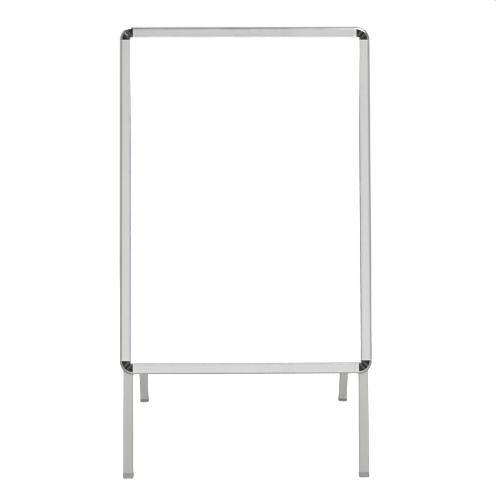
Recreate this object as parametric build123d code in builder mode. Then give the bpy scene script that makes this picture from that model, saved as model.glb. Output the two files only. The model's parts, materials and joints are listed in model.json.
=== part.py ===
"""Folding pavement board: two hinged leaves, each a snap-open poster frame on two legs.

Millimetres, +Z up, X across the board, front leaf facing -Y.  The origin is on the floor,
midway between the two leaves.

Most of the model is drawn in a leaf's own frame: x across, y up along the leaf, z outward from
the plane in which the folded leaves meet.  Its origin is on the hinge axis.  A rail's section
is drawn inward from the frame's outer edge (across) and outward from the frame's back (high).
"""
from build123d import *
from math import atan, cos, degrees, hypot, radians, sin, tan
import os

# ---------------------------------------------------------------- driving dimensions
poster_width = 594.0
poster_height = 841.0
poster_thickness = 0.3
poster_overlap = 4.5            # poster's edge behind the covers' inner edge
sheet_thickness = 0.5           # clear cover sheet
panel_thickness = 0.7           # sheet steel back panel

lean = 15.5                     # each leaf from the vertical, degrees
leg_reach = 1121.0              # hinge axis to the floor, along the plane where the leaves meet
frame_rise = 20.0               # frame's top edge above the hinge axis, along the leaf

rail_face = 26.5                # width of the snap cover seen from the front
rail_depth = 13.0               # frame's back to the cover's face
shoulder_radius = 8.0
lip_round = 1.0
cover_wall = 1.2
cover_gap = 0.4                 # between a cover's end and the corner piece
line_inset = 3.2                # fine groove along the face, from its inner edge
line_width = 0.8
line_depth = 0.4

bead_radius = 1.5               # bead that the snap cover turns on
neck_thickness = 1.0
hook_gap = 0.3                  # air between hook and bead
hook_start = 28.0               # arc of the hook round the bead, degrees from inward
hook_sweep = 215.0
swing_gap = 0.5                 # air under the hook as the cover turns
web_gap = 0.8                   # air between the hook and the base rail's outer web

base_floor = 1.4
base_web = 1.2
chamber_end = 18.2              # inner web's inner face, from the frame's outer edge
shelf_start = 13.5
shelf_setback = 1.5             # poster shelf's edge behind the cover's inner edge
shelf_top = 6.4
shelf_wall = 1.2
groove_lip = 1.0
panel_slack = 0.3               # groove width over the panel's thickness
panel_edge_gap = 0.4            # panel's edge to the inner web
sheet_gap = 0.2                 # cover's lip to the clear sheet

corner_arm = 7.5                # corner piece past the inner corner of the frame
corner_flat = 1.0               # straight stretch at each end of the round corner
corner_pocket_gap = 0.2         # round the edges of the panel, poster and clear sheet
inlay_inset = 6.5               # frame's outer edge to the seat of the dark inlay
inlay_depth = 3.4               # seat below the covers' face
inlay_edge_drop = 2.0           # inlay's edges below the covers' face
inlay_crown_rise = 1.0          # its middle above the covers' face
inlay_groove = 1.5              # depth of the groove along the mitre, below the crown
inlay_groove_slope = 65.0       # its sides from the vertical, degrees
inlay_gap = 0.15
inlay_round = 0.5

key_reach = 40.0                # corner key's arm in each rail
key_gap = 0.2
key_thickness = 3.0

spring_width = 12.0
spring_thickness = 0.6
spring_bend = 1.2
spring_gap = 0.4                # spring to the underside of the cover

leg_width = 25.0
leg_depth = 20.0
leg_wall = 1.5
leg_round = 2.0
leg_top_gap = 4.0               # hinge knuckle to the tube's top end
fold_gap = 1.0                  # leg to the plane where the leaves meet

foot_band = 8.0                 # height of the foot cap outside the tube
foot_skirt = 0.6                # cap's outline outside the tube's
foot_plug = 26.0
plug_gap = 0.05

rivet_radius = 2.0
rivet_head_radius = 2.7
rivet_tail_radius = 2.5
rivet_head = 1.0
rivet_web_gap = 0.3             # rivet's head to the base rail's inner web
rivet_leg_gap = 0.25            # rivet's tail to the rounding inside the tube
rivet_key_gap = 6.0             # outermost rivets' heads to the corner keys
rivet_count = 4

knuckle_radius = 8.0
knuckle_gap = 0.4
tongue_width = 12.0
tongue_gap = 0.3
hinge_pin_radius = 3.0
running_gap = 0.05
hinge_block_rise = 4.0
hinge_block_round = 5.0
hinge_block_gap = 0.5           # hinge block to the plane where the leaves meet
hinge_plug = 28.0

stay_drop = 330.0               # hinge axis to the stay's pivot, along the leaf
stay_width = 18.0
stay_thickness = 3.0
stay_leg_gap = 1.0
stay_pin_radius = 3.0
stay_head_radius = 5.2
stay_head = 1.5
stay_head_round = 0.8
slot_gap = 0.3
slot_end_room = 2.0
washer_radius = 7.0
washer_thickness = 0.7

# ---------------------------------------------------------------- derived sizes
poster_margin = rail_face - poster_overlap              # from the frame's outer edge
frame_width = poster_width + 2 * poster_margin
frame_height = poster_height + 2 * poster_margin
fold_angle = 2 * lean
hinge_height = leg_reach * cos(radians(lean))

leg_top = knuckle_radius + leg_top_gap                  # down from the hinge axis
leg_inner_round = leg_round - leg_wall / 2
leg_middle = fold_gap + leg_depth / 2                   # tube's centre line, outward
frame_back = fold_gap + leg_depth                       # frame's back, outward
rivet_inset = chamber_end - base_web - rivet_web_gap - rivet_head_radius
leg_inset = rivet_inset - rivet_tail_radius - rivet_leg_gap - leg_inner_round - leg_wall
leg_offset = frame_width / 2 - leg_inset - leg_width / 2

hook_radius = bead_radius + hook_gap + cover_wall
bead_across = hook_radius
bead_high = hook_radius + swing_gap
web_across = bead_across + hook_radius + web_gap
shelf_end = rail_face - shelf_setback
shelf_under = shelf_top - shelf_wall
lip_top = shelf_under - panel_thickness - panel_slack
lip_under = lip_top - groove_lip
panel_back = lip_top + panel_slack / 2
panel_edge = chamber_end + panel_edge_gap
sheet_back = shelf_top + poster_thickness
cover_lip_low = sheet_back + sheet_thickness + sheet_gap

corner_size = rail_face + corner_arm
corner_radius = corner_size - corner_flat
inlay_seat = rail_depth - inlay_depth
inlay_edge = rail_depth - inlay_edge_drop
inlay_crown = rail_depth + inlay_crown_rise

key_arm = corner_size + key_reach                       # from the frame's outer edge
key_start = web_across + base_web + key_gap
key_end = chamber_end - base_web - key_gap
key_back = base_floor + key_gap / 2

rivet_end = key_arm + rivet_key_gap + rivet_head_radius
rivet_step = (frame_height - 2 * rivet_end) / (rivet_count - 1)

hinge_block_depth = leg_depth + fold_gap - 2 * hinge_block_gap
stay_pivot_radius = hypot(stay_drop, leg_middle)
pivot_slant = degrees(atan(leg_middle / stay_drop))
slider_middle = stay_pivot_radius * (1 + cos(radians(fold_angle)))
slot_slant = degrees(atan(leg_middle / slider_middle))
slider_open = 2 * stay_pivot_radius * cos(radians(fold_angle + pivot_slant + slot_slant))
slider_shut = 2 * stay_pivot_radius * cos(radians(pivot_slant + slot_slant))
leg_inner_face = leg_offset - leg_width / 2

# ---------------------------------------------------------------- planes
front = Plane(
    origin=(0, 0, hinge_height),
    x_dir=(1, 0, 0),
    z_dir=(0, -cos(radians(lean)), sin(radians(lean))),
)
rear = Plane(
    origin=(0, 0, hinge_height),
    x_dir=(-1, 0, 0),
    z_dir=(0, cos(radians(lean)), sin(radians(lean))),
)
leaves = {"front": front, "rear": rear}

# side of the frame: its direction inward, in the leaf's frame
inward = {"top": (0, -1), "bottom": (0, 1), "left": (1, 0), "right": (-1, 0)}


def in_leaf(leaf, plane):
    """A plane given in a leaf's frame, in the board's frame."""
    return Plane(leaf.location * plane.location)


def side_name(leaf, side):
    """Left and right are named as seen from the board's front, on both leaves."""
    swapped = {"left": "right", "right": "left"}
    return swapped.get(side, side) if leaf is rear else side


def rail_plane(leaf, side):
    """Section plane at the middle of one side: x inward, y outward, z along the rail."""
    x, y = inward[side]
    middle = frame_rise - frame_height / 2
    edge = (-x * frame_width / 2, middle - y * frame_height / 2, frame_back)
    return in_leaf(leaf, Plane(origin=edge, x_dir=(x, y, 0), z_dir=(y, -x, 0)))


def rail_half(side):
    """Half the length between the corner pieces."""
    span = frame_width if side in ("top", "bottom") else frame_height
    return span / 2 - corner_size


def corner_planes(leaf):
    """One plane at each outer corner of the frame: x and y inward, z outward."""
    top = frame_rise
    bottom = frame_rise - frame_height
    half = frame_width / 2
    starts = [
        ((-half, bottom), (1, 0)),
        ((half, bottom), (0, 1)),
        ((half, top), (-1, 0)),
        ((-half, top), (0, -1)),
    ]
    return [
        in_leaf(leaf, Plane(origin=(x, y, frame_back), x_dir=(dx, dy, 0), z_dir=(0, 0, 1)))
        for (x, y), (dx, dy) in starts
    ]


def save(piece, name):
    """Label a finished piece and write its STEP file."""
    piece.part.label = name
    export_step(piece.part, f"parts/{name}.step")


# ---------------------------------------------------------------- snap-open rails
def base_rail(leaf, side, name):
    """Fixed extrusion: chamber for keys and springs, bead, panel groove and poster shelf."""
    section = rail_plane(leaf, side)
    along_leg = side in ("left", "right")
    with BuildPart() as rail:
        with BuildSketch(section):
            with BuildLine():
                Polyline(
                    (web_across, 0),
                    (chamber_end, 0),
                    (chamber_end, lip_under),
                    (shelf_end, lip_under),
                    (shelf_end, lip_top),
                    (chamber_end, lip_top),
                    (chamber_end, shelf_under),
                    (shelf_end, shelf_under),
                    (shelf_end, shelf_top),
                    (shelf_start, shelf_top),
                    (shelf_start, shelf_under),
                    (chamber_end - base_web, shelf_under),
                    (chamber_end - base_web, base_floor),
                    (web_across + base_web, base_floor),
                    (web_across + base_web, bead_high + neck_thickness / 2),
                    (bead_across, bead_high + neck_thickness / 2),
                    (bead_across, bead_high - neck_thickness / 2),
                    (web_across, bead_high - neck_thickness / 2),
                    close=True,
                )
            make_face()
            with Locations((bead_across, bead_high)):
                Circle(bead_radius)
        extrude(amount=rail_half(side), both=True)
        if along_leg:
            with BuildSketch(leaf.offset(frame_back)):
                with Locations(*rivet_places(leaf, side)):
                    Circle(rivet_radius)
            extrude(amount=base_floor, mode=Mode.SUBTRACT)
    save(rail, name)


def snap_cover(leaf, side, name):
    """Hinged extrusion over the base rail: hook, rounded shoulder, face and inner lip."""
    shoulder = (shoulder_radius, rail_depth - shoulder_radius)
    line_start = rail_face - line_inset
    with BuildPart() as cover:
        with BuildSketch(rail_plane(leaf, side)):
            with BuildLine():
                Line((0, bead_high), (0, shoulder[1]))
                CenterArc(shoulder, shoulder_radius, 180, -90)
                Polyline(
                    (shoulder_radius, rail_depth),
                    (line_start, rail_depth),
                    (line_start, rail_depth - line_depth),
                    (line_start + line_width, rail_depth - line_depth),
                    (line_start + line_width, rail_depth),
                    (rail_face - lip_round, rail_depth),
                )
                CenterArc((rail_face - lip_round, rail_depth - lip_round), lip_round, 90, -90)
                Polyline(
                    (rail_face, rail_depth - lip_round),
                    (rail_face, cover_lip_low),
                    (rail_face - cover_wall, cover_lip_low),
                    (rail_face - cover_wall, rail_depth - cover_wall),
                    (shoulder_radius, rail_depth - cover_wall),
                )
                CenterArc(shoulder, shoulder_radius - cover_wall, 90, 90)
                Polyline((cover_wall, shoulder[1]), (cover_wall, bead_high), (0, bead_high))
            make_face()
            with BuildLine():
                outer = CenterArc((bead_across, bead_high), hook_radius, hook_start, hook_sweep)
                inner = CenterArc(
                    (bead_across, bead_high), hook_radius - cover_wall, hook_start, hook_sweep
                )
                Line(outer @ 0, inner @ 0)
                Line(outer @ 1, inner @ 1)
            make_face()
        extrude(amount=rail_half(side) - cover_gap, both=True)
    save(cover, name)


def springs(leaf, name):
    """Bent strips in the rail chambers, three to a rail, that snap a cover open or shut."""
    top = rail_depth - cover_wall - spring_gap
    web = web_across + base_web + key_gap
    with BuildPart() as strips:
        for side in inward:
            section = rail_plane(leaf, side)
            spacing = rail_half(side) * 0.6
            for place in (-spacing, 0, spacing):
                with BuildSketch(section.offset(place)):
                    with BuildLine():
                        FilletPolyline(
                            (shelf_start + spring_bend, base_floor + spring_thickness / 2),
                            (web + spring_thickness / 2, base_floor + spring_thickness / 2),
                            (web + spring_thickness / 2, top - spring_thickness / 2),
                            (shelf_start + 2 * spring_bend, top - 2 * spring_bend),
                            radius=spring_bend,
                        )
                        offset(amount=spring_thickness / 2, kind=Kind.ARC)
                    make_face()
                extrude(amount=spring_width / 2, both=True)
    save(strips, name)


# ---------------------------------------------------------------- corner pieces
def corner_footprint(inset, end_gap):
    """L-shaped face with a round outer corner, inset from the outer edge and at its ends."""
    centre = (corner_radius, corner_radius)
    end = corner_size - end_gap
    inner = rail_face - end_gap
    with BuildSketch() as footprint:
        with BuildLine():
            CenterArc(centre, corner_radius - inset, 180, 90)
            Polyline(
                (corner_radius, inset),
                (end, inset),
                (end, inner),
                (inner, inner),
                (inner, end),
                (inset, end),
                (inset, corner_radius),
            )
        make_face()
    return footprint.sketch


def corner_bodies(leaf, name):
    """Four silver mouldings: rounded shoulder, seat for the inlay, key and panel pockets."""
    pocket = min(panel_edge, poster_margin) - corner_pocket_gap
    key_slot = key_end - key_start + 2 * key_gap
    outline = corner_footprint(0, 0)
    seat = corner_footprint(inlay_inset, -1)
    with BuildPart() as corner:
        with BuildSketch(Plane.XY):
            add(outline)
        extrude(amount=rail_depth)
        shoulder_edges = (
            corner.edges()
            .filter_by_position(Axis.Z, rail_depth, rail_depth)
            .filter_by(lambda e: min(e.center().X, e.center().Y) < corner_radius / 3)
            .filter_by(lambda e: max(e.center().X, e.center().Y) < corner_size - 0.1)
        )
        fillet(shoulder_edges, radius=shoulder_radius)
        with BuildSketch(Plane.XY.offset(inlay_seat)):
            add(seat)
        extrude(amount=rail_depth, mode=Mode.SUBTRACT)
        with BuildSketch(Plane.XY):
            with Locations((pocket, pocket)):
                Rectangle(corner_size, corner_size, align=(Align.MIN, Align.MIN))
        extrude(amount=cover_lip_low, mode=Mode.SUBTRACT)
        with BuildSketch(Plane.XY.offset(key_back - key_gap / 2)):
            with Locations((key_start - key_gap, key_start - key_gap)):
                Rectangle(corner_size, key_slot, align=(Align.MIN, Align.MIN))
                Rectangle(key_slot, corner_size, align=(Align.MIN, Align.MIN))
        extrude(amount=key_thickness + key_gap, mode=Mode.SUBTRACT)
    with BuildPart() as bodies:
        with Locations(*[plane.location for plane in corner_planes(leaf)]):
            add(corner.part)
    save(bodies, name)


def corner_inlays(leaf, name):
    """Four dark domed inlays, each two crowned arms mitred on the corner's diagonal."""
    middle = (inlay_inset + rail_face) / 2
    outline = corner_footprint(inlay_inset + inlay_gap, 0)
    groove_foot = inlay_crown - inlay_groove
    groove_half = 2 * inlay_groove * tan(radians(inlay_groove_slope))
    with BuildPart() as inlay:
        with BuildSketch(Plane.YZ):
            with BuildLine():
                ThreePointArc(
                    (inlay_inset, inlay_edge), (middle, inlay_crown), (rail_face, inlay_edge)
                )
                Polyline(
                    (rail_face, inlay_edge),
                    (rail_face, inlay_seat),
                    (inlay_inset, inlay_seat),
                    (inlay_inset, inlay_edge),
                )
            make_face()
        extrude(amount=corner_size)
        diagonal = Plane(origin=(0, 0, 0), x_dir=(1, 1, 0), z_dir=(1, -1, 0))
        split(bisect_by=diagonal, keep=Keep.TOP)
        mirror(about=diagonal)
        with BuildSketch(Plane.XY.offset(inlay_seat)):
            add(outline)
        extrude(amount=rail_depth, mode=Mode.INTERSECT)
        crowns = inlay.faces().filter_by(lambda face: face.normal_at().Z > 0.5)
        rim = crowns.edges().filter_by(lambda e: abs(e.center().X - e.center().Y) > inlay_round)
        fillet(rim, radius=inlay_round)
        with BuildSketch(Plane(origin=(0, 0, groove_foot), x_dir=(-1, 1, 0), z_dir=(1, 1, 0))):
            with BuildLine():
                Polyline(
                    (0, 0),
                    (groove_half, 2 * inlay_groove),
                    (-groove_half, 2 * inlay_groove),
                    close=True,
                )
            make_face()
        extrude(amount=2 * corner_size, mode=Mode.SUBTRACT)
    with BuildPart() as inlays:
        with Locations(*[plane.location for plane in corner_planes(leaf)]):
            add(inlay.part)
    save(inlays, name)


def corner_keys(leaf, name):
    """Four flat steel angles that plug into the base rails' chambers."""
    key_width = key_end - key_start
    arm = key_arm - key_start
    with BuildPart() as keys:
        with BuildSketch(*[plane.offset(key_back) for plane in corner_planes(leaf)]):
            with Locations((key_start, key_start)):
                Rectangle(arm, key_width, align=(Align.MIN, Align.MIN))
                Rectangle(key_width, arm, align=(Align.MIN, Align.MIN))
        extrude(amount=key_thickness)
    save(keys, name)


# ---------------------------------------------------------------- what the frame holds
def flat_sheet(leaf, width, height, back, thickness, name):
    """A flat rectangle centred in the frame, its back face a given height above the frame's."""
    middle = frame_rise - frame_height / 2
    with BuildPart() as sheet:
        with BuildSketch(leaf.offset(frame_back + back)):
            with Locations((0, middle)):
                Rectangle(width, height)
        extrude(amount=thickness)
    save(sheet, name)


# ---------------------------------------------------------------- legs and feet
def rivet_places(leaf, side):
    """Rivet centres on one side of the frame, in the leaf's frame."""
    x = frame_width / 2 - rivet_inset
    sign = -1 if side == "left" else 1
    return [(sign * x, frame_rise - rivet_end - n * rivet_step) for n in range(rivet_count)]


def leg(leaf, side, name):
    """Rectangular tube with rivet holes, and the hole or slot for the stay."""
    sign = -1 if side == "left" else 1
    centre = (sign * leg_offset, leg_middle)
    band_top = leg_reach - foot_band
    inner_x = sign * (leg_offset - leg_width / 2)
    with BuildPart() as tube:
        with BuildSketch(in_leaf(leaf, Plane((0, -leg_top, 0), (1, 0, 0), (0, -1, 0)))):
            with Locations(centre):
                RectangleRounded(leg_width, leg_depth, leg_round)
                RectangleRounded(
                    leg_width - 2 * leg_wall,
                    leg_depth - 2 * leg_wall,
                    leg_inner_round,
                    mode=Mode.SUBTRACT,
                )
        extrude(amount=band_top - leg_top)
        with BuildSketch(leaf.offset(frame_back)):
            with Locations(*rivet_places(leaf, side)):
                Circle(rivet_radius)
        extrude(amount=-2 * leg_wall, mode=Mode.SUBTRACT)
        if leaf is front:
            with BuildSketch(in_leaf(leaf, Plane.YZ.offset(inner_x))):
                with Locations((-stay_drop, leg_middle)):
                    Circle(stay_pin_radius)
        else:
            slot = Plane(
                origin=(inner_x, 0, 0),
                x_dir=(0, -cos(radians(slot_slant)), sin(radians(slot_slant))),
                z_dir=(1, 0, 0),
            )
            slot_radius = stay_pin_radius + slot_gap
            slot_top = slider_open - slot_radius
            slot_length = slider_shut + slot_radius + slot_end_room - slot_top
            with BuildSketch(in_leaf(leaf, slot)):
                with Locations((slot_top, 0)):
                    SlotOverall(
                        slot_length, 2 * slot_radius, align=(Align.MIN, Align.CENTER)
                    )
        extrude(amount=2 * leg_wall, both=True, mode=Mode.SUBTRACT)
    save(tube, name)


def foot(leaf, side, name):
    """Moulded cap: a plug in the tube and a band outside it, its sole level on the floor."""
    sign = -1 if side == "left" else 1
    centre = (sign * leg_offset, leg_middle)
    band_top = leg_reach - foot_band
    plug_top = Plane((0, foot_plug - band_top, 0), (1, 0, 0), (0, -1, 0))
    inner_width = leg_width - 2 * leg_wall - 2 * plug_gap
    inner_depth = leg_depth - 2 * leg_wall - 2 * plug_gap
    with BuildPart() as cap:
        with BuildSketch(in_leaf(leaf, plug_top)):
            with Locations(centre):
                RectangleRounded(inner_width, inner_depth, leg_inner_round)
        extrude(amount=foot_plug)
        with BuildSketch(in_leaf(leaf, plug_top.offset(foot_plug))):
            with Locations(centre):
                RectangleRounded(
                    leg_width + 2 * foot_skirt, leg_depth + 2 * foot_skirt, leg_round + foot_skirt
                )
        extrude(amount=2 * foot_band)
        split(bisect_by=Plane.XY, keep=Keep.TOP)
    save(cap, name)


def rivets(leaf, name):
    """Blind rivets through the base rails into the legs."""
    with BuildPart() as studs:
        for side in ("left", "right"):
            places = rivet_places(leaf, side)
            for start, radius, length in (
                (frame_back + base_floor, rivet_head_radius, rivet_head),
                (frame_back + base_floor, rivet_radius, -(base_floor + leg_wall)),
                (frame_back - leg_wall, rivet_tail_radius, -2 * rivet_head),
            ):
                with BuildSketch(leaf.offset(start)):
                    with Locations(*places):
                        Circle(radius)
                extrude(amount=length)
    save(studs, name)


# ---------------------------------------------------------------- hinges
def hinge_block(leaf, side, name):
    """Moulding plugged into a leg's top: a fork on the front leaf, a tongue on the rear."""
    sign = -1 if side == "left" else 1
    across = in_leaf(leaf, Plane.YZ.offset(sign * leg_offset))
    half = leg_width / 2
    tongue = tongue_width / 2
    recess = knuckle_radius + knuckle_gap
    block_height = hinge_block_rise + leg_top
    with BuildPart() as block:
        with BuildSketch(across):
            with Locations((hinge_block_rise, hinge_block_gap)):
                Rectangle(block_height, hinge_block_depth, align=(Align.MAX, Align.MIN))
            top_outside = vertices().sort_by(Axis.X)[-2:].sort_by(Axis.Y)[-1]
            fillet(top_outside, radius=hinge_block_round)
            Circle(knuckle_radius)
        extrude(amount=half, both=True)
        if leaf is front:
            with BuildSketch(across):
                Circle(recess)
            extrude(amount=tongue + tongue_gap, both=True, mode=Mode.SUBTRACT)
        else:
            with BuildSketch(across.offset(tongue), across.offset(-half)):
                Circle(recess)
            extrude(amount=half - tongue, mode=Mode.SUBTRACT)
        with BuildSketch(in_leaf(leaf, Plane((0, -leg_top, 0), (1, 0, 0), (0, -1, 0)))):
            with Locations((sign * leg_offset, leg_middle)):
                RectangleRounded(
                    leg_width - 2 * leg_wall - 2 * plug_gap,
                    leg_depth - 2 * leg_wall - 2 * plug_gap,
                    leg_inner_round,
                )
        extrude(amount=hinge_plug)
        with BuildSketch(across):
            Circle(hinge_pin_radius + (0 if leaf is front else running_gap))
        extrude(amount=half, both=True, mode=Mode.SUBTRACT)
    save(block, name)


def outer_rims(pin):
    """The rims at the two ends of a pin that lies along X."""
    rims = pin.edges().filter_by(GeomType.CIRCLE).sort_by(Axis.X)
    return [rims[0], rims[-1]]


def hinge_pin(sign, name):
    """Steel pin held in the fork's ears, with a flat head outside each ear."""
    centre = Plane((sign * leg_offset, 0, hinge_height), (0, 1, 0), (1, 0, 0))
    half = leg_width / 2
    with BuildPart() as pin:
        with BuildSketch(centre):
            Circle(hinge_pin_radius)
        extrude(amount=half, both=True)
        with BuildSketch(centre.offset(half), centre.offset(-half - stay_head)):
            Circle(stay_head_radius)
        extrude(amount=stay_head)
        fillet(outer_rims(pin), radius=stay_head_round)
    save(pin, name)


# ---------------------------------------------------------------- stays
def stay_points(sign):
    """Pivot on the front leg and slider in the rear leg's slot, on the bar's middle plane."""
    x = sign * (leg_inner_face - stay_leg_gap - stay_thickness / 2)
    pivot = front.from_local_coords((x, -stay_drop, leg_middle))
    slant = radians(slot_slant)
    along = (-x, -slider_open * cos(slant), slider_open * sin(slant))
    return pivot, rear.from_local_coords(along)


def stay_bar(sign, name):
    """Flat bar that turns on the front leg and slides in the rear leg."""
    pivot, slider = stay_points(sign)
    bar_plane = Plane(origin=(pivot + slider) / 2, x_dir=slider - pivot, z_dir=(1, 0, 0))
    with BuildPart() as bar:
        with BuildSketch(bar_plane):
            SlotCenterToCenter(stay_pivot_radius, stay_width)
            with Locations((-stay_pivot_radius / 2, 0)):
                Circle(stay_pin_radius + running_gap, mode=Mode.SUBTRACT)
            with Locations((stay_pivot_radius / 2, 0)):
                Circle(stay_pin_radius, mode=Mode.SUBTRACT)
        extrude(amount=stay_thickness / 2, both=True)
    save(bar, name)


def headed_pin(point, sign, bar_side, leg_side, name):
    """Pin along X with a head on each end, given as distances outward from the bar's middle."""
    outward = Plane(origin=point, x_dir=(0, 1, 0), z_dir=(sign, 0, 0))
    with BuildPart() as pin:
        with BuildSketch(outward.offset(bar_side)):
            Circle(stay_pin_radius)
        extrude(amount=leg_side - bar_side)
        with BuildSketch(outward.offset(bar_side - stay_head), outward.offset(leg_side)):
            Circle(stay_head_radius)
        extrude(amount=stay_head)
        fillet(outer_rims(pin), radius=stay_head_round)
    save(pin, name)


def stay_washers(name):
    """A spacer on each front leg, between the leg and the bar."""
    with BuildPart() as washers:
        for sign in (-1, 1):
            pivot, _ = stay_points(sign)
            face = Plane(origin=pivot, x_dir=(0, 1, 0), z_dir=(sign, 0, 0))
            start = stay_thickness / 2 + stay_leg_gap - washer_thickness
            with BuildSketch(face.offset(start)):
                Circle(washer_radius)
                Circle(stay_pin_radius + running_gap, mode=Mode.SUBTRACT)
            extrude(amount=washer_thickness)
    save(washers, name)


# ---------------------------------------------------------------- the board
os.makedirs("parts", exist_ok=True)

for leaf_name, leaf in leaves.items():
    for side in inward:
        seen = side_name(leaf, side)
        base_rail(leaf, side, f"{leaf_name}_{seen}_rail")
        snap_cover(leaf, side, f"{leaf_name}_{seen}_cover")
    corner_bodies(leaf, f"{leaf_name}_corner_pieces")
    corner_inlays(leaf, f"{leaf_name}_corner_inlays")
    corner_keys(leaf, f"{leaf_name}_corner_keys")
    springs(leaf, f"{leaf_name}_cover_springs")
    flat_sheet(
        leaf,
        frame_width - 2 * panel_edge,
        frame_height - 2 * panel_edge,
        panel_back,
        panel_thickness,
        f"{leaf_name}_back_panel",
    )
    flat_sheet(
        leaf, poster_width, poster_height, shelf_top, poster_thickness, f"{leaf_name}_poster"
    )
    flat_sheet(
        leaf, poster_width, poster_height, sheet_back, sheet_thickness, f"{leaf_name}_clear_sheet"
    )
    for side in ("left", "right"):
        seen = side_name(leaf, side)
        leg(leaf, side, f"{leaf_name}_{seen}_leg")
        foot(leaf, side, f"{leaf_name}_{seen}_foot")
        block = "hinge_fork" if leaf is front else "hinge_tongue"
        hinge_block(leaf, side, f"{seen}_{block}")
    rivets(leaf, f"{leaf_name}_frame_rivets")

bar_half = stay_thickness / 2
leg_inside = bar_half + stay_leg_gap + leg_wall
for sign, seen in ((-1, "left"), (1, "right")):
    pivot_point, slider_point = stay_points(sign)
    hinge_pin(sign, f"{seen}_hinge_pin")
    stay_bar(sign, f"{seen}_stay")
    headed_pin(pivot_point, sign, -bar_half - slot_gap, leg_inside, f"{seen}_stay_rivet")
    headed_pin(slider_point, sign, -bar_half, leg_inside + slot_gap, f"{seen}_stay_slider")
stay_washers("stay_washers")
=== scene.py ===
"""Looks of the sandwich board: camera, light, materials and detail pieces.

Metres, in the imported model's frame: +Z up, X across the board, front leaf facing -Y.
A leaf's own frame has x across, y up along the leaf from the hinge axis, and z outward.
Material nodes measure from the board's origin on the ground instead, along the same axes.
"""
import bmesh
import bpy
import json
from math import cos, radians, sin
from mathutils import Matrix, Vector


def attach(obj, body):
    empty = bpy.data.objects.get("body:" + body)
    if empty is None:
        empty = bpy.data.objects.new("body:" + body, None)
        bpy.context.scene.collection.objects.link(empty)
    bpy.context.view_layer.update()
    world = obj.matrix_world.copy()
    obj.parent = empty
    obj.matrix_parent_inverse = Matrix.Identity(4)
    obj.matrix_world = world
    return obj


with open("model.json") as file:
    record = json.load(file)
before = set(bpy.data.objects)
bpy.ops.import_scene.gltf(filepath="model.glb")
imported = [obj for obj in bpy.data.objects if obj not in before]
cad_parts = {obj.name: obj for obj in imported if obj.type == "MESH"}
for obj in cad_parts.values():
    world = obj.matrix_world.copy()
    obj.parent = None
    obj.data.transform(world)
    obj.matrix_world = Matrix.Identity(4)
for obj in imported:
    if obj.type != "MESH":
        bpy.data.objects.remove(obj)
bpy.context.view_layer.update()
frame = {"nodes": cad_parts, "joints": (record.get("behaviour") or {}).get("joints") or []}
scene = bpy.context.scene
scene.view_settings.view_transform = "Standard"
scene.view_settings.look = "None"

# ---------------------------------------------------------------- the board's own geometry
joints = {j["name"]: j for j in frame["joints"]}
lean = radians(joints["fold"]["range_deg"][1] / 2)
hinge_height = joints["fold"]["pos_m"][2]
leaves = ("front", "rear")
sides = ("left", "right")
origin_drop = hinge_height * cos(lean)      # hinge axis down to the board's origin, along a leaf


def leaf_matrix(leaf):
    """Leaf frame to board frame."""
    turn = 1 if leaf == "front" else -1
    across = Vector((turn, 0, 0))
    up = Vector((0, turn * sin(lean), cos(lean)))
    out = Vector((0, -turn * cos(lean), sin(lean)))
    matrix = Matrix((across, up, out)).transposed().to_4x4()
    matrix.translation = Vector((0, 0, hinge_height))
    return matrix


def leaf_box(leaf, node):
    """Lowest and highest corners of a node in its leaf's frame."""
    inverse = leaf_matrix(leaf).inverted()
    points = [inverse @ v.co for v in frame["nodes"][node].data.vertices]
    low = Vector([min(p[i] for p in points) for i in range(3)])
    high = Vector([max(p[i] for p in points) for i in range(3)])
    return low, high


# ---------------------------------------------------------------- camera
camera_data = bpy.data.cameras.new("camera")
camera = bpy.data.objects.new("camera", camera_data)
scene.collection.objects.link(camera)
scene.camera = camera
camera_data.sensor_width = 36.0
camera_data.lens = 90.1
camera_data.shift_x = 0.0006
camera_data.shift_y = 0.08
camera_data.clip_end = 60.0
camera.location = (-0.0376, -3.288, 1.170)
camera_pitch = radians(-12.97)
camera_yaw = radians(0.79)
camera.rotation_euler = (radians(90) + camera_pitch, 0, -camera_yaw)


# ---------------------------------------------------------------- light
class NodeTree:
    """Short ways to add nodes to a world's or a material's tree."""

    def __init__(self, tree):
        self.tree = tree

    def node(self, kind, **settings):
        made = self.tree.nodes.new(kind)
        for key, value in settings.items():
            setattr(made, key, value)
        return made

    def link(self, source, target):
        self.tree.links.new(source, target)

    def math(self, operation, a, b=0):
        made = self.node("ShaderNodeMath", operation=operation)
        for socket, value in zip(made.inputs, (a, b)):
            if isinstance(value, (int, float)):
                socket.default_value = value
            else:
                self.link(value, socket)
        return made.outputs[0]

    def spread(self, value, low, high, start=0.3, end=0.7):
        """A value from start to end, as a number from low to high."""
        made = self.node("ShaderNodeMapRange")
        numbers = {"From Min": start, "From Max": end, "To Min": low, "To Max": high}
        for socket, number in numbers.items():
            made.inputs[socket].default_value = number
        self.link(value, made.inputs["Value"])
        return made.outputs["Result"]


wall_direction = (-0.10, 0.995, 0.0)
# how far a direction points at the walls, from 0 to 1, and how bright it is there
wall_stops = ((0.0, 0.20), (0.45, 0.24), (0.75, 0.60), (0.95, 1.0))


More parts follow.
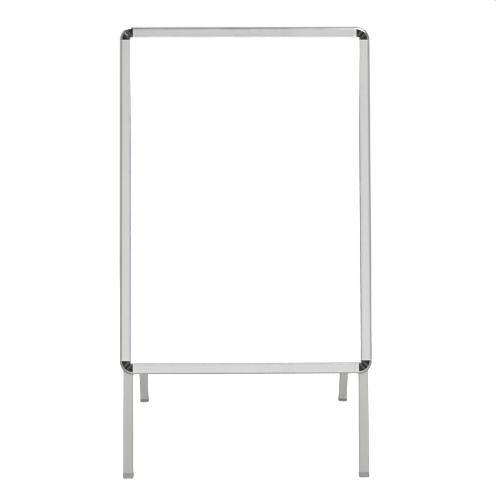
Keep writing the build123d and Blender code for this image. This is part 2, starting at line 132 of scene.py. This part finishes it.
def studio_world():
    """White to the camera.  The board reflects light walls in front and behind, and darker
    surroundings between them with a dim fill at the sides and from below."""
    world = bpy.data.worlds.new("studio")
    scene.world = world
    world.use_nodes = True
    world.node_tree.nodes.clear()
    build = NodeTree(world.node_tree)
    direction = build.node("ShaderNodeTexCoord").outputs["Generated"]
    facing = build.node("ShaderNodeVectorMath", operation="DOT_PRODUCT")
    facing.inputs[1].default_value = wall_direction
    build.link(direction, facing.inputs[0])
    depth = build.math("ABSOLUTE", facing.outputs["Value"])
    ramp = build.node("ShaderNodeValToRGB")
    ramp.color_ramp.interpolation = "EASE"
    while len(ramp.color_ramp.elements) < len(wall_stops):
        ramp.color_ramp.elements.new(0.5)
    for element, (position, value) in zip(ramp.color_ramp.elements, wall_stops):
        element.position = position
        element.color = (value, value, value, 1)
    build.link(depth, ramp.inputs["Fac"])
    split = build.node("ShaderNodeSeparateXYZ")
    build.link(direction, split.inputs[0])
    sideways = build.math("ABSOLUTE", split.outputs["X"])
    side_fill = build.spread(sideways, 0.0, 0.22, 0.55, 0.92)
    low_fill = build.spread(split.outputs["Z"], 0.0, 0.52, -0.3, -0.75)
    low_fill = build.math("MULTIPLY", low_fill, depth)
    fills = build.math("ADD", build.math("ADD", ramp.outputs["Color"], side_fill), low_fill)

    seen = build.node("ShaderNodeBackground")
    seen.inputs["Color"].default_value = (1, 1, 1, 1)
    lit = build.node("ShaderNodeBackground")
    build.link(fills, lit.inputs["Color"])
    mix = build.node("ShaderNodeMixShader")
    build.link(build.node("ShaderNodeLightPath").outputs["Is Camera Ray"], mix.inputs["Fac"])
    build.link(lit.outputs[0], mix.inputs[1])
    build.link(seen.outputs[0], mix.inputs[2])
    build.link(mix.outputs[0], build.node("ShaderNodeOutputWorld").inputs[0])


def softbox(name, place, size, power):
    """Square light aimed at the middle of the board."""
    data = bpy.data.lights.new(name, "AREA")
    data.shape = "SQUARE"
    data.size = size
    data.energy = power
    light = bpy.data.objects.new(name, data)
    scene.collection.objects.link(light)
    light.location = place
    aim = Vector((0, 0, board_middle)) - Vector(place)
    light.rotation_euler = aim.to_track_quat("-Z", "Y").to_euler()
    return light


studio_world()
board_middle = 0.6              # height that the lights aim at
ceiling = 4.4                   # height of the lights over the board
key_offset = 1.5                # across, and in front of or behind the board
for leaf, turn in zip(leaves, (1, -1)):
    # glints only: it casts no shadow on the floor
    key = softbox(f"{leaf}_key_light", (key_offset * turn, -key_offset * turn, ceiling), 0.7, 45)
    key.visible_diffuse = False
for name, place, size, power in (
    ("front_light", (0, -4.4, 2.2), 3.0, 150),
    ("back_light", (0, 4.4, 2.2), 3.0, 150),
    ("floor_light", (0, 0, ceiling), 5.0, 330),
):
    # even light, with no reflection of its own
    softbox(name, place, size, power).visible_glossy = False


# ---------------------------------------------------------------- material tools
class Shader(NodeTree):
    """A node material with a Principled surface."""

    def __init__(self, name, colour, roughness, metallic=0.0, **constants):
        self.material = bpy.data.materials.new(name)
        self.material.use_nodes = True
        super().__init__(self.material.node_tree)
        self.surface = self.tree.nodes["Principled BSDF"]
        self.surface.inputs["Base Color"].default_value = (*colour, 1)
        self.surface.inputs["Roughness"].default_value = roughness
        self.surface.inputs["Metallic"].default_value = metallic
        for socket, value in constants.items():
            self.surface.inputs[socket.replace("_", " ")].default_value = value
        self.colour = colour

    def object_coords(self):
        return self.node("ShaderNodeTexCoord").outputs["Object"]

    def place(self, leaf, scale=(1, 1, 1)):
        """Object coordinates turned to a leaf's axes, then scaled per axis."""
        turn = self.node("ShaderNodeMapping", vector_type="POINT")
        tilt = lean if leaf == "front" else -lean
        turn.inputs["Rotation"].default_value = (tilt - radians(90), 0, 0)
        stretch = self.node("ShaderNodeMapping", vector_type="POINT")
        stretch.inputs["Scale"].default_value = scale
        self.link(self.object_coords(), turn.inputs["Vector"])
        self.link(turn.outputs["Vector"], stretch.inputs["Vector"])
        return stretch.outputs["Vector"]

    def leaf_xy(self, leaf):
        """Distances across and up the leaf from the board's origin, in metres."""
        split = self.node("ShaderNodeSeparateXYZ")
        self.link(self.place(leaf), split.inputs[0])
        return split.outputs["X"], split.outputs["Y"]

    def noise(self, vector, scale, detail=2.0, rough=0.5):
        made = self.node("ShaderNodeTexNoise")
        made.inputs["Scale"].default_value = scale
        made.inputs["Detail"].default_value = detail
        made.inputs["Roughness"].default_value = rough
        self.link(vector, made.inputs["Vector"])
        return made.outputs["Fac"]

    def mix(self, factor, a, b):
        """Colour a where the factor socket is 0, colour b where it is 1."""
        made = self.node("ShaderNodeMix", data_type="RGBA")
        factor_in, a_in, b_in = made.inputs[0], made.inputs[6], made.inputs[7]
        self.link(factor, factor_in)
        a_in.default_value = (*a, 1)
        b_in.default_value = (*b, 1)
        return made.outputs[2]

    def shade(self, value):
        """The base colour times a value socket, ready for Base Color."""
        scale = self.node("ShaderNodeVectorMath", operation="SCALE")
        scale.inputs[0].default_value = self.colour
        self.link(value, scale.inputs["Scale"])
        return scale.outputs[0]

    def dust_and_shade(self, reach, darkest, start=0.25, end=0.85):
        """Dust and painted shade: 1 on open surfaces, down to darkest in crevices narrower than
        about reach.
        """
        made = self.node("ShaderNodeAmbientOcclusion", samples=6)
        made.inputs["Distance"].default_value = reach
        return self.spread(made.outputs["AO"], darkest, 1.0, start, end)

    def bump(self, height, strength, distance):
        made = self.node("ShaderNodeBump")
        made.inputs["Strength"].default_value = strength
        made.inputs["Distance"].default_value = distance
        self.link(height, made.inputs["Height"])
        self.link(made.outputs["Normal"], self.surface.inputs["Normal"])

    def set(self, socket, value):
        self.link(value, self.surface.inputs[socket])


def give(material, *nodes):
    """Puts one material on CAD nodes."""
    for name in nodes:
        mesh = frame["nodes"][name].data
        mesh.materials.clear()
        mesh.materials.append(material)


# ---------------------------------------------------------------- materials
# metres from the edge that a mark follows: where the mark starts to change, and where it is done
# painted highlight at the rails' cut ends
end_highlight_reach = (0.0018, 0.0034)
# painted highlight beside the corner inlay's mitre
mitre_sheen_rise = (0.0022, 0.0048)
mitre_sheen_fall = (0.007, 0.013)
# painted shadow of the rails' lips on the clear sheet
lip_shadow_band = (0.0021, 0.0035)


def drawn_aluminium(name, leaf, along, colour, roughness, ends=None, darker_foot=None):
    """Satin anodised extrusion: die lines along its length, handling marks, dust and painted shade
    in the joints.

    ends gives the lowest and highest place along the extrusion, where a painted highlight brightens
    the cut ends.
    The last argument gives two places along it: it is painted darker below the first, less and
    less up to the second, and not at all above that.
    """
    shader = Shader(name, colour, roughness, metallic=1.0)
    stretch = {"x": (0.6, 90, 90), "y": (90, 0.6, 90)}[along]
    lines = shader.noise(shader.place(leaf, stretch), 12.0, 3.0, 0.6)
    cloud = shader.noise(shader.place(leaf), 9.0, 4.0, 0.55)
    fine = shader.noise(shader.place(leaf), 900.0, 1.0)
    line_tone = shader.spread(lines, 0.95, 1.04)
    cloud_tone = shader.spread(cloud, 0.965, 1.025)
    tone = shader.math("MULTIPLY", line_tone, cloud_tone)
    # painted shade, which also stands for dust, darkens the crevices between pieces
    dust_and_shade = shader.dust_and_shade(0.006, 0.62)
    tone = shader.math("MULTIPLY", tone, dust_and_shade)
    x, y = shader.leaf_xy(leaf)
    if darker_foot:
        # darker towards the foot
        foot_darkening = shader.spread(y, 0.84, 1.0, *darker_foot)
        tone = shader.math("MULTIPLY", tone, foot_darkening)
    if ends:
        middle, half = (ends[0] + ends[1]) / 2, (ends[1] - ends[0]) / 2
        offset = shader.math("SUBTRACT", {"x": x, "y": y}[along], middle)
        to_end = shader.math("SUBTRACT", half, shader.math("ABSOLUTE", offset))
        # painted highlight: the last few millimetres at each cut end are brighter
        end_highlight = shader.spread(to_end, 1.22, 1.0, *end_highlight_reach)
        tone = shader.math("MULTIPLY", tone, end_highlight)
    shader.set("Base Color", shader.shade(tone))
    grain = shader.math("ADD", shader.spread(lines, -0.04, 0.05), shader.spread(cloud, -0.02, 0.04))
    grain = shader.math("ADD", grain, shader.spread(fine, -0.03, 0.03))
    shader.set("Roughness", shader.math("ADD", grain, roughness))
    height = shader.math("ADD", lines, shader.math("MULTIPLY", fine, 0.3))
    shader.bump(height, 0.12, 0.0002)
    return shader.material


def moulded_plastic(name, colour, roughness):
    """Fine spark-eroded grain, with paler scuffs."""
    shader = Shader(name, colour, roughness)
    coords = shader.object_coords()
    grain = shader.noise(coords, 1400.0, 2.0)
    scuff = shader.noise(coords, 60.0, 6.0, 0.65)
    # painted shade, which also stands for dust, darkens the crevices between pieces
    dust_and_shade = shader.dust_and_shade(0.004, 0.7, 0.3, 0.9)
    tone = shader.math("MULTIPLY", shader.spread(scuff, 0.9, 1.12, 0.35, 0.75), dust_and_shade)
    shader.set("Base Color", shader.shade(tone))
    shader.set("Roughness", shader.spread(scuff, roughness - 0.06, roughness + 0.1))
    shader.bump(grain, 0.35, 0.0002)
    return shader.material


def gloss_black(name, leaf):
    """Polished black moulding, with a painted highlight band along each side of the corner's mitre.
    """
    colour = (0.004, 0.0038, 0.0036)
    shader = Shader(name, colour, 0.14, Specular_IOR_Level=0.22,
                    Coat_Weight=0.08, Coat_Roughness=0.08)
    low, high = leaf_box(leaf, f"{leaf}_corner_pieces")
    middle = (high.y + low.y) / 2 + origin_drop
    x, y = shader.leaf_xy(leaf)
    from_middle = shader.math("ABSOLUTE", shader.math("SUBTRACT", y, middle))
    x_inward = shader.math("SUBTRACT", high.x, shader.math("ABSOLUTE", x))
    y_inward = shader.math("SUBTRACT", (high.y - low.y) / 2, from_middle)
    from_mitre = shader.math("ABSOLUTE", shader.math("SUBTRACT", x_inward, y_inward))
    coords = shader.object_coords()
    haze = shader.noise(coords, 70.0, 5.0, 0.6)
    edge = shader.math("ADD", from_mitre, shader.spread(haze, -0.0012, 0.0012))
    # painted highlight: a paler band each side of the mitre, where the domed arms would catch the
    # light
    sheen_start = shader.spread(edge, 0.0, 1.0, *mitre_sheen_rise)
    sheen_end = shader.spread(edge, 1.0, 0.1, *mitre_sheen_fall)
    mitre_sheen = shader.math("MULTIPLY", sheen_start, sheen_end)
    shader.set("Base Color", shader.mix(mitre_sheen, colour, (0.046, 0.045, 0.041)))
    shader.set("Roughness", shader.spread(haze, 0.12, 0.28))
    shader.bump(haze, 0.05, 0.0006)
    return shader.material


def silver_moulding():
    """Silver-plated moulding: smoother than the rails, slightly orange-peeled."""
    shader = Shader("silver_moulding", (0.60, 0.60, 0.585), 0.22, metallic=1.0)
    coords = shader.object_coords()
    peel = shader.noise(coords, 260.0, 2.0)
    haze = shader.noise(coords, 40.0, 4.0)
    # painted shade, which also stands for dust, darkens the crevices between pieces
    dust_and_shade = shader.dust_and_shade(0.005, 0.6)
    tone = shader.math("MULTIPLY", shader.spread(haze, 0.94, 1.04), dust_and_shade)
    shader.set("Base Color", shader.shade(tone))
    shader.set("Roughness", shader.spread(haze, 0.18, 0.3))
    shader.bump(peel, 0.06, 0.0005)
    return shader.material


def zinc_plate(name, colour, roughness):
    """Zinc-plated steel: cloudy patches with a faint warm cast, and a fine grain."""
    shader = Shader(name, colour, roughness, metallic=1.0)
    coords = shader.object_coords()
    patches = shader.noise(coords, 70.0, 5.0, 0.6)
    fine = shader.noise(coords, 700.0, 2.0)
    warm = tuple(c * f for c, f in zip(colour, (1.03, 0.99, 0.90)))
    dull = tuple(c * 0.8 for c in colour)
    shader.set("Base Color", shader.mix(shader.spread(patches, 0, 1), dull, warm))
    shader.set("Roughness", shader.spread(patches, roughness - 0.08, roughness + 0.12))
    shader.bump(fine, 0.15, 0.0002)
    return shader.material


def galvanised():
    """Hot-dip zinc sheet with its crystal spangle."""
    shader = Shader("galvanised", (0.50, 0.52, 0.54), 0.42, metallic=0.9)
    coords = shader.object_coords()
    crystals = shader.node("ShaderNodeTexVoronoi", feature="F1")
    crystals.inputs["Scale"].default_value = 85.0
    crystals.inputs["Randomness"].default_value = 1.0
    shader.link(coords, crystals.inputs["Vector"])
    split = shader.node("ShaderNodeSeparateColor")
    shader.link(crystals.outputs["Color"], split.inputs[0])
    cloud = shader.noise(coords, 6.0, 4.0)
    spangle = shader.spread(split.outputs[0], 0.88, 1.1, 0, 1)
    tone = shader.math("MULTIPLY", spangle, shader.spread(cloud, 0.94, 1.04))
    # painted shade, which also stands for dust, darkens the crevices between pieces
    tone = shader.math("MULTIPLY", tone, shader.dust_and_shade(0.008, 0.65))
    shader.set("Base Color", shader.shade(tone))
    shader.set("Roughness", shader.spread(split.outputs[1], 0.34, 0.52, 0, 1))
    return shader.material


def white_paper():
    """Matt poster paper with a fine fibre and long shallow waves from damp."""
    shader = Shader("white_paper", (0.90, 0.90, 0.90), 0.75, Specular_IOR_Level=0.3)
    coords = shader.object_coords()
    fibre = shader.noise(coords, 1500.0, 3.0, 0.7)
    wave = shader.noise(coords, 3.2, 1.0)
    shader.set("Base Color", shader.shade(shader.spread(fibre, 0.985, 1.01)))
    height = shader.math("ADD", shader.math("MULTIPLY", fibre, 0.01), wave)
    shader.bump(height, 0.10, 0.004)
    return shader.material


def clear_film(name, leaf):
    """Clear anti-glare sheet with a painted blue-grey shadow line where it goes under the rails."""
    shader = Shader(name, (0.80, 0.84, 0.90), 0.28, Alpha=0.05, IOR=1.5)
    low, _ = leaf_box(leaf, f"{leaf}_bottom_cover")
    _, high = leaf_box(leaf, f"{leaf}_top_cover")
    side_low, side_high = leaf_box(leaf, f"{leaf}_left_cover")
    face = side_high.x - side_low.x
    outer = max(abs(side_low.x), abs(side_high.x))
    half_width = outer - face
    half_height = (high.y - low.y) / 2 - face
    middle = (high.y + low.y) / 2 + origin_drop
    x, y = shader.leaf_xy(leaf)
    y = shader.math("SUBTRACT", y, middle)
    side_gap = shader.math("SUBTRACT", half_width, shader.math("ABSOLUTE", x))
    end_gap = shader.math("SUBTRACT", half_height, shader.math("ABSOLUTE", y))
    gap = shader.math("MINIMUM", side_gap, end_gap)
    # painted shadow: a blue-grey line along the opening, under the rails' lips
    line = shader.spread(gap, 1.0, 0.0, *lip_shadow_band)
    # the painted shadow line fades out towards the top, and is weaker at the very bottom and
    # towards -X
    fall = shader.spread(y, 1.0, 0.0, half_height * 0.3, half_height * 0.9)
    low_edge = shader.spread(y, 0.45, 1.0, -half_height, -half_height * 0.985)
    side = shader.spread(x, 0.8, 1.0, -half_width, half_width)
    coords = shader.object_coords()
    patchy = shader.spread(shader.noise(coords, 14.0, 3.0), 0.82, 1.0)
    lip_shadow = shader.math("MULTIPLY", shader.math("MULTIPLY", line, patchy), fall)
    lip_shadow = shader.math("MULTIPLY", lip_shadow, shader.math("MULTIPLY", low_edge, side))
    shader.set("Base Color", shader.mix(line, (0.85, 0.88, 0.92), (0.17, 0.18, 0.27)))
    shader.set("Alpha", shader.math("MAXIMUM", lip_shadow, 0.03))
    shader.bump(shader.noise(coords, 900.0, 1.0), 0.1, 0.0001)
    return shader.material


def soft_floor():
    """Pale studio floor with a faint glow of its own, that fades into the white round it."""
    shader = Shader("studio_floor", (0.95, 0.95, 0.95), 0.9, Specular_IOR_Level=0.1,
                    Emission_Color=(1, 1, 1, 1), Emission_Strength=0.22)
    coords = shader.object_coords()
    cloud = shader.noise(coords, 2.0, 2.0)
    shader.set("Base Color", shader.shade(shader.spread(cloud, 0.995, 1.0)))
    distance = shader.node("ShaderNodeVectorMath", operation="LENGTH")
    shader.link(coords, distance.inputs[0])
    shader.set("Alpha", shader.spread(distance.outputs["Value"], 1.0, 0.0, 0.9, 2.2))
    return shader.material


rail_colour = (0.745, 0.75, 0.73)
leg_colour = (0.64, 0.64, 0.62)
darkening_height = 0.26            # a leg is painted darker towards the foot, up to here
silver = silver_moulding()
for leaf in leaves:
    low, high = leaf_box(leaf, f"{leaf}_top_cover")
    across = drawn_aluminium(f"{leaf}_rail_across", leaf, "x", rail_colour, 0.30, (low.x, high.x))
    low, high = leaf_box(leaf, f"{leaf}_left_cover")
    ends = (low.y + origin_drop, high.y + origin_drop)
    upright = drawn_aluminium(f"{leaf}_rail_upright", leaf, "y", rail_colour, 0.30, ends)
    low, high = leaf_box(leaf, f"{leaf}_left_leg")
    foot = low.y + origin_drop
    darker_foot = (foot, foot + darkening_height)
    tube = drawn_aluminium(f"{leaf}_leg_tube", leaf, "y", leg_colour, 0.38, darker_foot=darker_foot)
    for part in ("rail", "cover"):
        give(across, f"{leaf}_top_{part}", f"{leaf}_bottom_{part}")
        give(upright, f"{leaf}_left_{part}", f"{leaf}_right_{part}")
    give(tube, f"{leaf}_left_leg", f"{leaf}_right_leg", f"{leaf}_frame_rivets")
    give(clear_film(f"{leaf}_film", leaf), f"{leaf}_clear_sheet")
    give(silver, f"{leaf}_corner_pieces")
    give(gloss_black(f"{leaf}_gloss_black", leaf), f"{leaf}_corner_inlays")

give(galvanised(), *[f"{leaf}_back_panel" for leaf in leaves])
give(white_paper(), *[f"{leaf}_poster" for leaf in leaves])
steel_pieces = ("hinge_pin", "stay", "stay_rivet", "stay_slider")
give(zinc_plate("zinc_steel", (0.60, 0.60, 0.58), 0.34),
     *[f"{leaf}_corner_keys" for leaf in leaves],
     *[f"{side}_{piece}" for side in sides for piece in steel_pieces])
give(zinc_plate("spring_strip", (0.30, 0.31, 0.34), 0.3),
     *[f"{leaf}_cover_springs" for leaf in leaves])
give(moulded_plastic("foot_plastic", (0.16, 0.16, 0.157), 0.5),
     *[f"{leaf}_{side}_foot" for leaf in leaves for side in sides])
give(moulded_plastic("hinge_nylon", (0.035, 0.035, 0.036), 0.45),
     *[f"{side}_hinge_{piece}" for side in sides for piece in ("fork", "tongue")])
give(moulded_plastic("washer_nylon", (0.66, 0.66, 0.62), 0.4), "stay_washers")

# ---------------------------------------------------------------- detail pieces
# blind rivet's head, from its middle out: radius and height over the tube, in millimetres
rivet_profile = (
    (0.0, 0.30), (0.62, 0.30), (0.80, 0.78), (1.7, 0.74), (2.4, 0.48), (2.9, 0.10), (3.0, 0.0)
)
rivet_drop = 0.014              # tube's end to the rivet that holds its plug


def lathe(mesh, centre, axis, profile, steps=32):
    """Adds a turned form to a bmesh: its rings stand along axis from centre."""
    side = axis.orthogonal().normalized()
    other = axis.cross(side)
    rings = []
    for radius, height in profile:
        middle = centre + axis * height / 1000
        if radius == 0:
            rings.append([mesh.verts.new(middle)])
            continue
        ring = []
        for n in range(steps):
            turn = radians(360 * n / steps)
            spoke = side * cos(turn) + other * sin(turn)
            ring.append(mesh.verts.new(middle + spoke * radius / 1000))
        rings.append(ring)
    for inner, outer in zip(rings, rings[1:]):
        for n in range(steps):
            a, b = inner[n % len(inner)], inner[(n + 1) % len(inner)]
            corners = [a, outer[n], outer[(n + 1) % steps], b]
            face = mesh.faces.new(list(dict.fromkeys(corners)))
            face.smooth = True


def plug_rivets(leaf, material):
    """Blind rivets in the legs' outer faces, one by the hinge plug and one by the foot plug."""
    place = leaf_matrix(leaf)
    mesh = bmesh.new()
    for side in sides:
        low, high = leaf_box(leaf, f"{leaf}_{side}_leg")
        outward = 1 if high.x > 0 else -1
        face = high.x if outward > 0 else low.x
        middle = (low.z + high.z) / 2
        for y in (high.y - rivet_drop, low.y + rivet_drop):
            centre = place @ Vector((face, y, middle))
            lathe(mesh, centre, place.to_3x3() @ Vector((outward, 0, 0)), rivet_profile)
    bmesh.ops.recalc_face_normals(mesh, faces=mesh.faces)
    data = bpy.data.meshes.new(f"{leaf}_plug_rivets")
    mesh.to_mesh(data)
    mesh.free()
    piece = bpy.data.objects.new(f"{leaf}_plug_rivets", data)
    scene.collection.objects.link(piece)
    data.materials.append(material)
    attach(piece, f"{leaf}_leaf")


rivet_metal = zinc_plate("rivet_metal", (0.70, 0.70, 0.69), 0.3)
for leaf in leaves:
    plug_rivets(leaf, rivet_metal)

reach = 12.0                    # middle of the floor to its edges
floor_corners = [(-reach, -reach, 0), (reach, -reach, 0), (reach, reach, 0), (-reach, reach, 0)]
floor_mesh = bpy.data.meshes.new("floor")
floor_mesh.from_pydata(floor_corners, [], [(0, 1, 2, 3)])
floor = bpy.data.objects.new("floor", floor_mesh)
scene.collection.objects.link(floor)
floor_mesh.materials.append(soft_floor())
floor.visible_glossy = False
